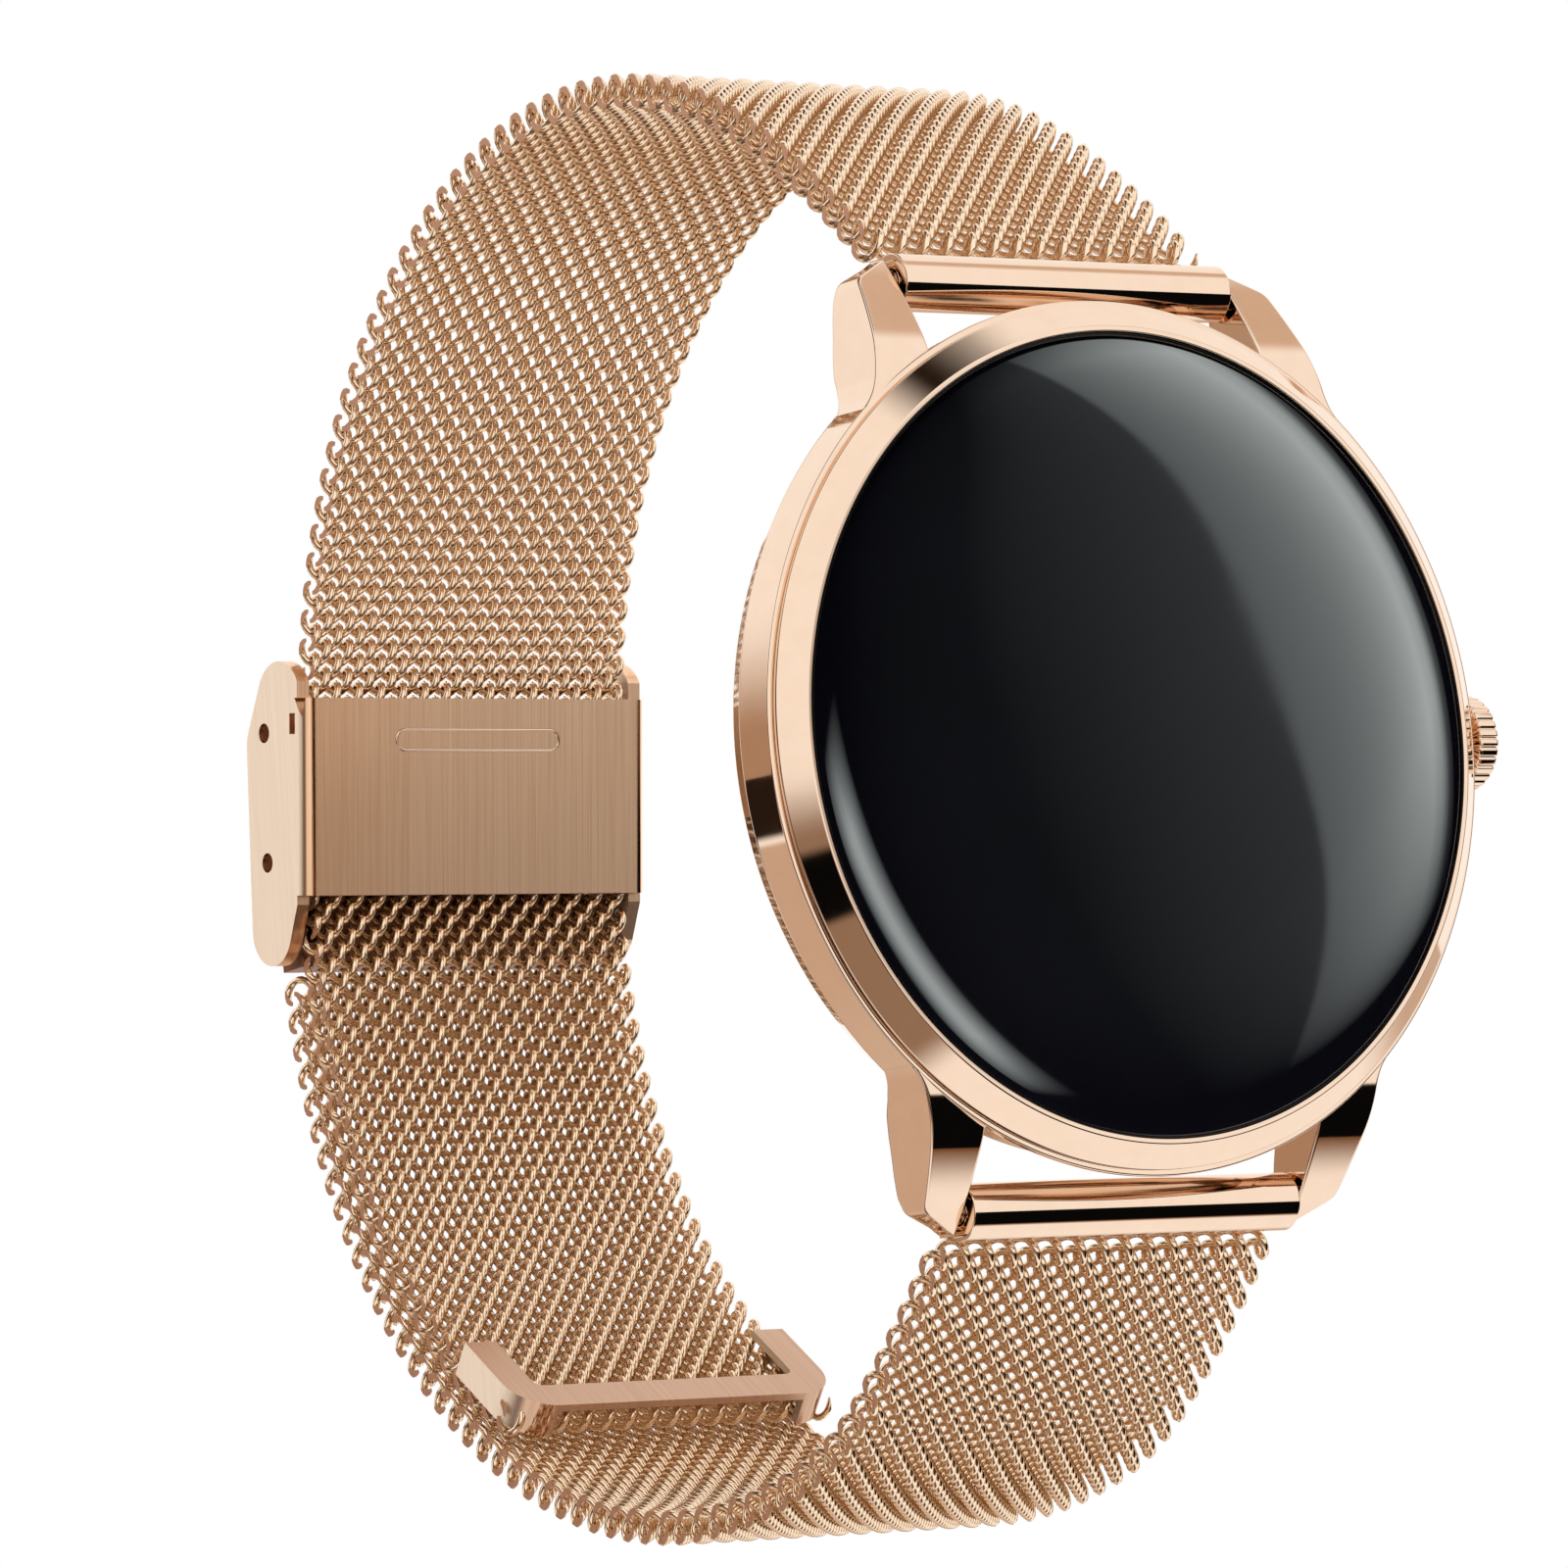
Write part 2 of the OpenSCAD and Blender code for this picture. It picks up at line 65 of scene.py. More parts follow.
# Woven coils: half sizes of one coil, wire radius and spacing
COIL_ALONG, COIL_NORMAL = 0.64, 0.70
WIRE_R = 0.20
COIL_PITCH, TURN_PITCH = 0.76, 1.375
# Phase of the wire at the edge, the length that is ground away beyond it, and how far inside it the cut lies
EDGE_PHASE, OVERRUN, GRIND_DEPTH = -0.75, 0.35, 0.03
TURN_STEPS, WIRE_SIDES = 18, 6
COILS_PER_PIECE = 50

# ---- Case, in millimetres, as the CAD model lays it out ----
CASE_R, RECESS_R, RECESS_HALF_ANGLE = 21.1, 19.9, math.radians(29.5)
LUG_IN, LUG_TIP, LUG_TIP_SLOPE, LUG_ROOT_R = 10.0, 23.43, 0.52, 19.7
LUG_TAPER, LUG_WALL, FILLET_R = math.radians(12.4), (13.2, 18.2), 3.0
LUG_FRONT, LUG_EDGE_R, LUG_BACK_R = -7.246, 0.13, 0.58
BAR_Y, BAR_Z = -3.77, 22.28
TUBE_BORE_R, TUBE_R, TUBE_HALF = 0.66, 1.41, 9.75
CROWN_Y, FLUTES, FLUTE_DEPTH = -4.8, 30, 0.11
# Rounding of the CAD nodes that are shown
EDGE_WIDTH = 0.06

# ---- Looks ----
# Shares of a pattern between which its two tones blend
TONE_START, TONE_END = 0.35, 0.65
# Height of a surface's fine relief, in metres
RELIEF_DEPTH = 0.00002
GLASS_IOR = 1.45
# Brushed metal: cells per metre, how far they are drawn out, and the paler tones painted on the faces that
# look sideways as a painted highlight
BRUSH_GRAIN, BRUSH_STRETCH = 11000, 0.008
PAINTED_SIDE_HIGHLIGHT_TONES = (0.95, 0.80, 0.67), (1.0, 0.87, 0.74)
# Its roughness, by how far a face looks sideways: satin flats, glossy bends and dull sides
BRUSH_ROUGHNESS = (0.08, 0.29), (0.2, 0.05), (0.7, 0.05), (0.95, 0.6)


# ---- Materials ----
def new_material(name):
    material = bpy.data.materials.new(name)
    material.use_nodes = True
    tree = material.node_tree
    return material, tree, tree.nodes["Principled BSDF"]


def empty_material(name):
    material, tree, _ = new_material(name)
    tree.nodes.clear()
    return material, tree


def calculate(tree, operation, first, second=0.0):
    """The result of a maths node, whose operands are numbers or other nodes' results."""
    node = tree.nodes.new("ShaderNodeMath")
    node.operation = operation
    for socket, value in zip(node.inputs, (first, second)):
        if isinstance(value, (int, float)):
            socket.default_value = value
        else:
            tree.links.new(value, socket)
    return node.outputs[0]


def split(tree, vector):
    """The X, Y and Z of a vector, as a node's outputs."""
    parts = tree.nodes.new("ShaderNodeSeparateXYZ")
    tree.links.new(vector, parts.inputs["Vector"])
    return parts.outputs


def noise(tree, scale, detail, stretch=(1, 1, 1), roughness=0.5):
    """Noise in object space, in cells per metre, with each axis scaled by stretch."""
    where = tree.nodes.new("ShaderNodeTexCoord")
    mapping = tree.nodes.new("ShaderNodeMapping")
    mapping.inputs["Scale"].default_value = stretch
    texture = tree.nodes.new("ShaderNodeTexNoise")
    texture.inputs["Scale"].default_value = scale
    texture.inputs["Detail"].default_value = detail
    texture.inputs["Roughness"].default_value = roughness
    tree.links.new(where.outputs["Object"], mapping.inputs["Vector"])
    tree.links.new(mapping.outputs["Vector"], texture.inputs["Vector"])
    return texture.outputs["Fac"]


def remap(tree, value, low, high, start=0.3, end=0.7):
    """A number that goes from low to high as value goes from start to end."""
    node = tree.nodes.new("ShaderNodeMapRange")
    node.inputs["From Min"].default_value = start
    node.inputs["From Max"].default_value = end
    node.inputs["To Min"].default_value = low
    node.inputs["To Max"].default_value = high
    tree.links.new(value, node.inputs["Value"])
    return node.outputs["Result"]


def colour_ramp(tree, value, stops):
    """A colour that follows value through (place, colour) stops."""
    node = tree.nodes.new("ShaderNodeValToRGB")
    elements = node.color_ramp.elements
    for k, (place, colour) in enumerate(stops):
        stop = elements[k] if k < 2 else elements.new(place)
        stop.position = place
        stop.color = (*colour, 1)
    tree.links.new(value, node.inputs["Fac"])
    return node.outputs["Color"]


def level_ramp(tree, value, levels):
    """A grey that follows value through (place, level) pairs."""
    return colour_ramp(tree, value, [(place, (level, level, level)) for place, level in levels])


def two_tone(tree, value, first, second):
    return colour_ramp(tree, value, ((TONE_START, first), (TONE_END, second)))


def tint(tree, shader, pattern, first, second, rough_low, rough_high):
    """Colour and roughness that follow a pattern."""
    tree.links.new(two_tone(tree, pattern, first, second), shader.inputs["Base Color"])
    tree.links.new(remap(tree, pattern, rough_low, rough_high), shader.inputs["Roughness"])


def bump(tree, shader, value, strength):
    node = tree.nodes.new("ShaderNodeBump")
    node.inputs["Strength"].default_value = strength
    node.inputs["Distance"].default_value = RELIEF_DEPTH
    tree.links.new(value, node.inputs["Height"])
    tree.links.new(node.outputs["Normal"], shader.inputs["Normal"])


def metal(name, first, second, rough_low, rough_high, grain, relief=0.0):
    """Metal whose colour and gloss vary a little with its grain."""
    material, tree, shader = new_material(name)
    shader.inputs["Metallic"].default_value = 1.0
    pattern = noise(tree, grain, 3.0)
    tint(tree, shader, pattern, first, second, rough_low, rough_high)
    if relief:
        bump(tree, shader, pattern, relief)
    return material


def brushed(name, first, second):
    """Metal brushed along the strap, with glossy bends and duller sides, and a painted highlight that makes
    the sides paler.
    """
    material, tree, shader = new_material(name)
    shader.inputs["Metallic"].default_value = 1.0
    flats = noise(tree, BRUSH_GRAIN, 4.0, (1, BRUSH_STRETCH, BRUSH_STRETCH), 0.6)
    sides = noise(tree, BRUSH_GRAIN, 4.0, (1, 1, BRUSH_STRETCH), 0.6)
    where = tree.nodes.new("ShaderNodeTexCoord")
    sideways = calculate(tree, "ABSOLUTE", split(tree, where.outputs["Normal"])["X"])
    mix = tree.nodes.new("ShaderNodeMix")
    mix.data_type = "RGBA"
    tree.links.new(remap(tree, sideways, 0.0, 1.0, 0.75, 0.95), mix.inputs["Factor"])
    tree.links.new(two_tone(tree, flats, first, second), mix.inputs["A"])
    # Faces that look sideways are painted paler, a painted highlight
    tree.links.new(two_tone(tree, sides, *PAINTED_SIDE_HIGHLIGHT_TONES), mix.inputs["B"])
    tree.links.new(mix.outputs["Result"], shader.inputs["Base Color"])
    tree.links.new(level_ramp(tree, sideways, BRUSH_ROUGHNESS), shader.inputs["Roughness"])
    bump(tree, shader, flats, 0.12)
    return material


def plastic(name, first, second, rough_low, rough_high, grain):
    material, tree, shader = new_material(name)
    pattern = noise(tree, grain, 4.0)
    tint(tree, shader, pattern, first, second, rough_low, rough_high)
    bump(tree, shader, pattern, 0.1)
    return material


def dark_glass(name, first, second):
    """Glass so dark that only its surface shows."""
    material, tree, shader = new_material(name)
    tint(tree, shader, noise(tree, 90, 2.0), first, second, 0.02, 0.05)
    shader.inputs["IOR"].default_value = GLASS_IOR
    return material


ROSE, ROSE_DEEP = (0.885, 0.69, 0.54), (0.865, 0.67, 0.52)
POLISHED = metal("polished_rose_gold", ROSE_DEEP, ROSE, 0.03, 0.06, 900)
SATIN = metal("satin_rose_gold", ROSE, ROSE_DEEP, 0.2, 0.3, 2500)
RECESS = metal("dull_rose_gold_recess", (0.80, 0.60, 0.46), (0.84, 0.64, 0.50), 0.12, 0.18, 1200)
WIRE = metal("rose_gold_wire", (0.94, 0.725, 0.525), (0.99, 0.785, 0.575), 0.09, 0.16, 2500)
CUT_WIRE = metal("ground_wire_ends", (0.82, 0.52, 0.36), (0.90, 0.58, 0.41), 0.40, 0.5, 4000, relief=0.3)
BRUSHED = brushed("brushed_rose_gold", (0.88, 0.545, 0.34), (1.0, 0.69, 0.46))
# The clip's flats are painted darker than the clasp as painted shade, and its sideways faces carry the
# painted highlight
PAINTED_SHADE_CLIP = brushed("brushed_clip_painted_shade", (0.54, 0.335, 0.225), (0.62, 0.40, 0.275))
# The pin ends are painted dark brown as painted shade for the holes they sit in
PAINTED_SHADE_PIN_END = metal("pin_end_painted_shade", (0.15, 0.055, 0.018), (0.2, 0.075, 0.026), 0.35, 0.45, 1500)
SHADED = metal("rose_gold_in_shade", (0.30, 0.17, 0.11), (0.38, 0.22, 0.15), 0.3, 0.4, 1500)
STEEL = metal("plain_steel", (0.52, 0.52, 0.54), (0.62, 0.62, 0.64), 0.2, 0.3, 1500)
GOLD_CONTACT = metal("gold_contact", (0.80, 0.55, 0.22), (0.88, 0.63, 0.28), 0.12, 0.2, 1500)
GLASS = dark_glass("dial_glass", (0.0055, 0.006, 0.0105), (0.008, 0.0085, 0.0145))
WINDOW = dark_glass("sensor_glass", (0.004, 0.004, 0.005), (0.008, 0.008, 0.01))
SEAL = plastic("seal_rubber", (0.012, 0.012, 0.012), (0.02, 0.02, 0.02), 0.6, 0.8, 2500)
CHASSIS = plastic("moulded_frame", (0.04, 0.04, 0.045), (0.07, 0.07, 0.075), 0.45, 0.6, 1800)
DISPLAY = plastic("dark_display", (0.003, 0.003, 0.004), (0.006, 0.006, 0.008), 0.08, 0.14, 400)
FLEX = plastic("amber_film", (0.36, 0.13, 0.02), (0.45, 0.18, 0.03), 0.3, 0.4, 900)
BOARD = plastic("circuit_board", (0.008, 0.07, 0.03), (0.012, 0.11, 0.045), 0.3, 0.45, 1200)
CHIP = plastic("chip_package", (0.012, 0.012, 0.012), (0.025, 0.025, 0.025), 0.45, 0.6, 2500)
CELL = metal("cell_foil", (0.5, 0.51, 0.53), (0.62, 0.63, 0.65), 0.25, 0.4, 700, relief=0.4)
LAMP = plastic("lamp_lens", (0.18, 0.5, 0.2), (0.25, 0.6, 0.28), 0.15, 0.25, 1500)
PHOTODIODE = plastic("light_sensor", (0.03, 0.03, 0.06), (0.05, 0.05, 0.09), 0.15, 0.25, 1500)
PALE_PLASTIC = plastic("pale_moulding", (0.62, 0.62, 0.6), (0.72, 0.72, 0.7), 0.4, 0.5, 1500)

NODE_MATERIALS = {
    "case_frame": POLISHED, "bezel_ring": POLISHED, "glass_gasket": SEAL, "cover_glass": GLASS,
    "display_panel": DISPLAY, "display_flex": FLEX, "inner_chassis": CHASSIS, "battery_cell": CELL,
    "vibration_motor": STEEL, "main_board": BOARD, "board_chips": CHIP, "board_shield": STEEL,
    "sensor_board": BOARD, "sensor_leds": LAMP, "sensor_photodiodes": PHOTODIODE,
    "case_back": SATIN, "back_gasket": SEAL, "back_screws": STEEL, "sensor_window": WINDOW,
    "charging_rings": GOLD_CONTACT, "crown_tube": STEEL, "crown_seal": SEAL,
    "crown_switch": CHIP, "encoder_wheel": PALE_PLASTIC, "crown": POLISHED, "stem_clip": STEEL,
    "spring_bar_barrels": POLISHED, "spring_bar_tips": STEEL, "spring_bar_springs": STEEL,
    "upper_end_tube": POLISHED, "upper_mesh": WIRE, "tail_clip": PAINTED_SHADE_CLIP,
    "clasp_base": BRUSHED, "hook_bar": PAINTED_SHADE_PIN_END, "clasp_pin": PAINTED_SHADE_PIN_END, "clasp_cover": BRUSHED,
    "lock_lever": SHADED, "lower_end_tube": POLISHED, "lower_mesh": WIRE, "hook_plate": SHADED,
}


def dress_cad_nodes():
    for name, material in NODE_MATERIALS.items():
        nodes[name].data.materials.clear()
        nodes[name].data.materials.append(material)


# ---- Mesh helpers ----
def make_piece(name, points, faces, body, replaced, materials):
    """A mesh in millimetres that rides on body and stands for the CAD nodes in replaced."""
    mesh = bpy.data.meshes.new(name)
    mesh.from_pydata((np.asarray(points, float) * MM).tolist(), [], faces)
    for material in materials:
        mesh.materials.append(material)
    mesh.update()
    mesh.shade_smooth()
    piece = bpy.data.objects.new(name, mesh)
    bpy.context.scene.collection.objects.link(piece)
    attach(piece, body)
    if replaced:
        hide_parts(*replaced)
    return piece


def rounded(corners, radius, steps=4):
    """A closed outline with each corner rounded by radius, or less where a side is short.

    A point just outside each rounding keeps the flats between them flat under smooth shading.
    """
    outline = []
    count = len(corners)
    for i in range(count):
        corner = Vector(corners[i])
        back, ahead = Vector(corners[i - 1]) - corner, Vector(corners[(i + 1) % count]) - corner
        reach = min(radius, back.length * 0.4, ahead.length * 0.4)
        start, end = corner + back.normalized() * reach, corner + ahead.normalized() * reach
        outline.append(start + back.normalized() * reach * 0.2)
        for k in range(steps + 1):
            f = k / steps
            outline.append(start.lerp(corner, f).lerp(corner.lerp(end, f), f))
        outline.append(end + ahead.normalized() * reach * 0.2)
    return outline


def lathe(outline, centre, axis, segments, closed=True):
    """Points and faces of (radius, along) outline turned about an axis, 'y' or 'x', through centre."""
    points, faces = [], []
    count = len(outline)
    for k in range(segments):
        turn = 2 * math.pi * k / segments
        for radius, along in outline:
            c, s = radius * math.cos(turn), radius * math.sin(turn)
            offset = (c, along, s) if axis == "y" else (along, c, s)
            points.append([centre[0] + offset[0], centre[1] + offset[1], centre[2] + offset[2]])
    spans = count if closed else count - 1
    for k in range(segments):
        this, following = k * count, (k + 1) % segments * count
        for i in range(spans):
            j = (i + 1) % count
            faces.append((this + i, this + j, following + j, following + i))
    return points, faces


def fix_normals(piece):
    """Merges doubled points and turns every face outward."""
    bm = bmesh.new()
    bm.from_mesh(piece.data)
    bmesh.ops.remove_doubles(bm, verts=bm.verts, dist=1e-7)
    bmesh.ops.recalc_face_normals(bm, faces=bm.faces)
    bm.to_mesh(piece.data)
    bm.free()
    piece.data.shade_smooth()


def soften(name):
    """Fine rounded edges and even shading on a CAD node, as modifiers."""
    node = nodes[name]
    bevel = node.modifiers.new("edges", "BEVEL")
    bevel.width, bevel.segments = EDGE_WIDTH * MM, 2
    bevel.limit_method, bevel.angle_limit = "ANGLE", math.radians(28)
    bevel.use_clamp_overlap = True
    shading = node.modifiers.new("shading", "NODES")
    shading.node_group = SMOOTH
    even = node.modifiers.new("even_flats", "WEIGHTED_NORMAL")
    even.keep_sharp = False


def smooth_group():
    """Geometry nodes that shade every face smooth."""
    group = bpy.data.node_groups.new("smooth_shading", "GeometryNodeTree")
    group.interface.new_socket("Geometry", in_out="INPUT", socket_type="NodeSocketGeometry")
    group.interface.new_socket("Geometry", in_out="OUTPUT", socket_type="NodeSocketGeometry")
    start, end = group.nodes.new("NodeGroupInput"), group.nodes.new("NodeGroupOutput")
    smooth = group.nodes.new("GeometryNodeSetShadeSmooth")
    group.links.new(start.outputs[0], smooth.inputs["Geometry"])
    group.links.new(smooth.outputs["Geometry"], end.inputs[0])
    return group


SMOOTH = smooth_group()


# ---- Case ----
def case_ring():
    """The round wall of the case, cut back between each pair of lugs."""
    whole = [
        (19.52, -7.25), (CASE_R, -7.25), (CASE_R, -6.85), (CASE_R, -6.3), (CASE_R, -5.6), (CASE_R, -4.9),
        (20.4, -3.4), (19.4, -1.9), (18.95, -1.5), (18.3, -1.5), (18.3, -2.15), (17.6, -2.15),
        (17.6, -6.28), (19.52, -6.28)]
    cut = list(whole)
    cut[3:7] = (RECESS_R, -6.85), (RECESS_R, -4.9), (RECESS_R, -3.6), (RECESS_R, -2.65)
    whole, cut = rounded(whole, 0.08), rounded(cut, 0.08)
    # The recess is dull behind its front edge and outside its inner bevel
    dull_behind, dull_outside = -6.84, 19.6
    count, segments = len(whole), 512
    points, faces, dull = [], [], []
    for k in range(segments):
        turn = 2 * math.pi * k / segments
        c, s = math.cos(turn), math.sin(turn)
        recess = abs(c) < math.sin(RECESS_HALF_ANGLE)
        for radius, along in cut if recess else whole:
            points.append((radius * c, along, radius * s))
        for i in range(count):
            a, b, j = k * count + i, k * count + (i + 1) % count, (k + 1) % segments
            faces.append((a, b, j * count + (i + 1) % count, j * count + i))
            dull.append(recess and cut[i].y > dull_behind and cut[i].x > dull_outside)
    piece = make_piece(
        "case_ring", points, faces, "case", ["case_frame"], [POLISHED, RECESS])
    piece.data.polygons.foreach_set("material_index", np.array(dull, np.int32))
    fix_normals(piece)


def lug_outline():
    """One lug from the front as its inner side and outer side, each as (x, z) from the case to the tip."""
    root_z, arc_steps = 14.0, 40
    c, s = math.cos(LUG_TAPER), math.sin(LUG_TAPER)
    wall = LUG_WALL[0] * c + LUG_WALL[1] * s
    along = math.sqrt((CASE_R + FILLET_R) ** 2 - (wall + FILLET_R) ** 2)
    hollow = (c * (wall + FILLET_R) - s * along, s * (wall + FILLET_R) + c * along)
    tip_x = LUG_IN + (LUG_WALL[0] - LUG_IN - math.tan(LUG_TAPER) * (LUG_TIP - LUG_WALL[1])) / (
        1 - LUG_TIP_SLOPE * math.tan(LUG_TAPER))
    tip = (tip_x, LUG_TIP - LUG_TIP_SLOPE * (tip_x - LUG_IN))
    wall_end = (hollow[0] - c * FILLET_R, hollow[1] - s * FILLET_R)
    outline = rounded([(LUG_IN, root_z), (LUG_IN, LUG_TIP), tip, wall_end], 0.35)
    per = len(outline) // 4
    chain = outline[:3 * per]
    top = max(range(len(chain)), key=lambda i: chain[i].y)
    inner = [(LUG_IN, root_z)] + [tuple(p) for p in chain[per:top + 1]]
    outer = [tuple(p) for p in chain[top:]]
    start = math.atan2(-s, -c)
    end = math.atan2(-hollow[1], -hollow[0])
    for k in range(1, arc_steps):
        a = start + (end - start) * k / arc_steps
        outer.append((hollow[0] + FILLET_R * math.cos(a), hollow[1] + FILLET_R * math.sin(a)))
    outer.append((14.6, 14.8))
    return np.array(inner), np.array(outer[::-1])


def lug_section(low_x, high_x, front, back, corner_back):
    """Rounded outline of a lug cut across at one height, as (x, y)."""
    width, arc_steps = high_x - low_x, 5
    r = min(LUG_EDGE_R, 0.35 * width)
    outline = []
    corners = [
        (low_x, front, r), (high_x, front, r), (high_x, back, min(corner_back, 0.6 * width)),
        (low_x, back, r)]
    for i, (x, y, radius) in enumerate(corners):
        corner = Vector((x, y))
        to_last = (Vector(corners[i - 1][:2]) - corner).normalized()
        to_next = (Vector(corners[(i + 1) % 4][:2]) - corner).normalized()
        outline.append(corner + to_last * radius * 1.25)
        for k in range(arc_steps + 1):
            turn = math.pi / 2 * k / arc_steps
            outline.append(corner + (to_last + to_next) * radius
                           - to_next * radius * math.cos(turn) - to_last * radius * math.sin(turn))
        outline.append(corner + to_next * radius * 1.25)
    return [(p.x, p.y) for p in outline]


def lugs():
    """The four lugs as stacked sections, with a front that slopes back towards the tip."""
    inner, outer = lug_outline()
    heights = np.concatenate((
        np.arange(14.9, 21.8, 0.12), np.arange(21.8, LUG_TIP - 0.03, 0.035), [LUG_TIP - 0.012]))
    slopes = np.interp(heights, (16.0, 17.2, 19.6, LUG_TIP), np.radians((0.0, 6.0, 30.0, 37.5)))
    fronts = LUG_FRONT + np.concatenate(([0.0], np.cumsum(np.diff(heights) * np.tan(slopes[1:]))))
    back_heights, back_depths = zip(
        (14.0, -5.0), (15.5, -4.9), (16.6, -4.05), (17.6, -3.5), (18.6, -3.24), (19.5, -3.08),
        (20.4, -2.88), (21.2, -2.76), (22.2, -2.71), (23.1, -2.72), (LUG_TIP, -2.8))
    backs = np.interp(heights, back_heights, back_depths)
    # The outer edge of the back is rounder towards the tip
    round_backs = np.interp(heights, (21.5, 22.4), (LUG_EDGE_R, LUG_BACK_R))
    sections = []
    for z, front, back, round_back in zip(heights, fronts, backs, round_backs):
        low_x = max(np.interp(z, inner[:, 1], inner[:, 0]), math.sqrt(max(LUG_ROOT_R ** 2 - z ** 2, 0)))
        high_x = np.interp(z, outer[:, 1], outer[:, 0])
        sections.append([(x, y, z) for x, y in lug_section(low_x, high_x, front, back, round_back)])
    count = len(sections[0])
    points, faces = [], []
    for side_x in (1, -1):
        for side_z in (1, -1):
            first = len(points)
            for section in sections:
                points += [(side_x * x, y, side_z * z) for x, y, z in section]
            for j in range(len(sections) - 1):
                for i in range(count):
                    a, b = first + j * count + i, first + j * count + (i + 1) % count
                    faces.append((a, b, b + count, a + count))
            last = first + (len(sections) - 1) * count
            faces.append(tuple(range(first, first + count)))
            faces.append(tuple(range(last, last + count)))
    piece = make_piece("case_lugs", points, faces, "case", ["case_frame"], [POLISHED])
    fix_normals(piece)


def bezel():
    """The sloped ring round the glass."""
    corners = [(19.42, -8.47), (19.66, -8.5), (20.8, -7.47), (20.8, -7.28), (20.45, -7.26),
               (19.5, -7.26), (19.5, -6.3), (18.1, -6.3), (18.1, -6.95), (19.42, -6.95)]
    points, faces = lathe(rounded(corners, 0.05, 3), (0, 0, 0), "y", 384)
    piece = make_piece("polished_bezel", points, faces, "case", ["bezel_ring"], [POLISHED])
    fix_normals(piece)


def end_tube(name, side, body, node):
    """The tube at the end of one half of the strap, above the case with side 1 and below it with -1."""
    corners = [(TUBE_BORE_R, -TUBE_HALF), (TUBE_R, -TUBE_HALF), (TUBE_R, TUBE_HALF), (TUBE_BORE_R, TUBE_HALF)]
    points, faces = lathe(rounded(corners, 0.08), (0, BAR_Y, side * BAR_Z), "x", 192)
    piece = make_piece(name, points, faces, body, [node], [POLISHED])
    fix_normals(piece)


def fluted_crown():
    """The crown's cap and stem, with flutes that fade out towards the middle of the cap."""
    outline = [
        (0.0, 22.8), (2.18, 22.8), (2.23, 22.8), (2.3, 22.77), (2.34, 22.73), (2.35, 22.68), (2.35, 22.6),
        (2.35, 21.85), (2.33, 21.75), (2.2, 21.65), (0.6, 21.65), (0.58, 21.63), (0.58, 14.64),
        (0.54, 14.6), (0.0, 14.6)]
    points, faces = lathe(outline, (0, CROWN_Y, 0), "x", FLUTES * 10, closed=False)
    points = np.array(points)
    out = points[:, 1:] - (CROWN_Y, 0)
    radius = np.linalg.norm(out, axis=1)
    turn = np.arctan2(out[:, 1], out[:, 0])
    fade = np.clip((radius - 2.1) / 0.15, 0, 1)
    groove = FLUTE_DEPTH * fade * np.maximum(np.cos(FLUTES * turn) * 1.4 - 0.4, 0)
    points[:, 1:] -= out / np.maximum(radius, 1e-6)[:, None] * groove[:, None]
    piece = make_piece("fluted_crown", points, faces, "crown", ["crown"], [POLISHED])
    fix_normals(piece)


def floor_bead():
    """Raised outline of the slot pressed in the clasp floor."""
    end_x, middle_z, end_r, bead_r, lift = 4.58, 3.0, 0.545, 0.075, 0.03
    arc_steps, sides = 12, 10
    line = []
    for side in (1, -1):
        for k in range(arc_steps + 1):
            turn = math.pi * (k / arc_steps - 0.5)
            line.append((side * (end_x + end_r * math.cos(turn)), middle_z + side * end_r * math.sin(turn)))
    line = np.array(line)
    steps = np.roll(line, -1, axis=0) - np.roll(line, 1, axis=0)
    steps /= np.linalg.norm(steps, axis=1)[:, None]
    points, faces = [], []
    for j, ((x, z), (step_x, step_z)) in enumerate(zip(line, steps)):
        this, following = j * sides, (j + 1) % len(line) * sides
        for k in range(sides):
            turn, n = 2 * math.pi * k / sides, (k + 1) % sides
            out, rise = bead_r * math.cos(turn), lift - bead_r * math.sin(turn)
            px, pz = x + step_z * out, z - step_x * out
            points.append((px, CLASP_Y + rise * math.cos(CLASP_TILT) - pz * math.sin(CLASP_TILT),
                           CLASP_Z + rise * math.sin(CLASP_TILT) + pz * math.cos(CLASP_TILT)))
            faces.append((this + k, this + n, following + n, following + k))
    piece = make_piece("floor_bead", points, faces, "clasp", [], [POLISHED])
    fix_normals(piece)


# ---- Strap path ----
def turn_points(turns, start, downward):
    """(outward, up) points in the clasp's frame along a chain of turns, with outward normals."""
    at, heading, points, normals = np.array(start, float), 0.0, [], []
    flip = -1.0 if downward else 1.0
    at = at * (1, flip)
    for radius, sweep in turns:
        sweep = math.radians(sweep)
        centre = at - radius * np.array((math.cos(heading), math.sin(heading)))
        angles = heading + np.linspace(0, sweep, int(radius * sweep / PATH_STEP))
        out = np.stack((np.cos(angles), np.sin(angles)), 1)
        points.append(centre + radius * out)
        normals.append(out)
        heading += sweep
        at = centre + radius * np.array((math.cos(heading), math.sin(heading)))
    points, normals = np.concatenate(points), np.concatenate(normals)
    return points * (1, flip), normals * (1, flip)


def to_model(points, shift=True):
    """Turns clasp-frame (outward, up) pairs into the model's (Y, Z)."""
    c, s = math.cos(CLASP_TILT), math.sin(CLASP_TILT)
    turned = points @ np.array(((c, s), (-s, c)))
    return turned + (CLASP_Y, CLASP_Z) if shift else turned


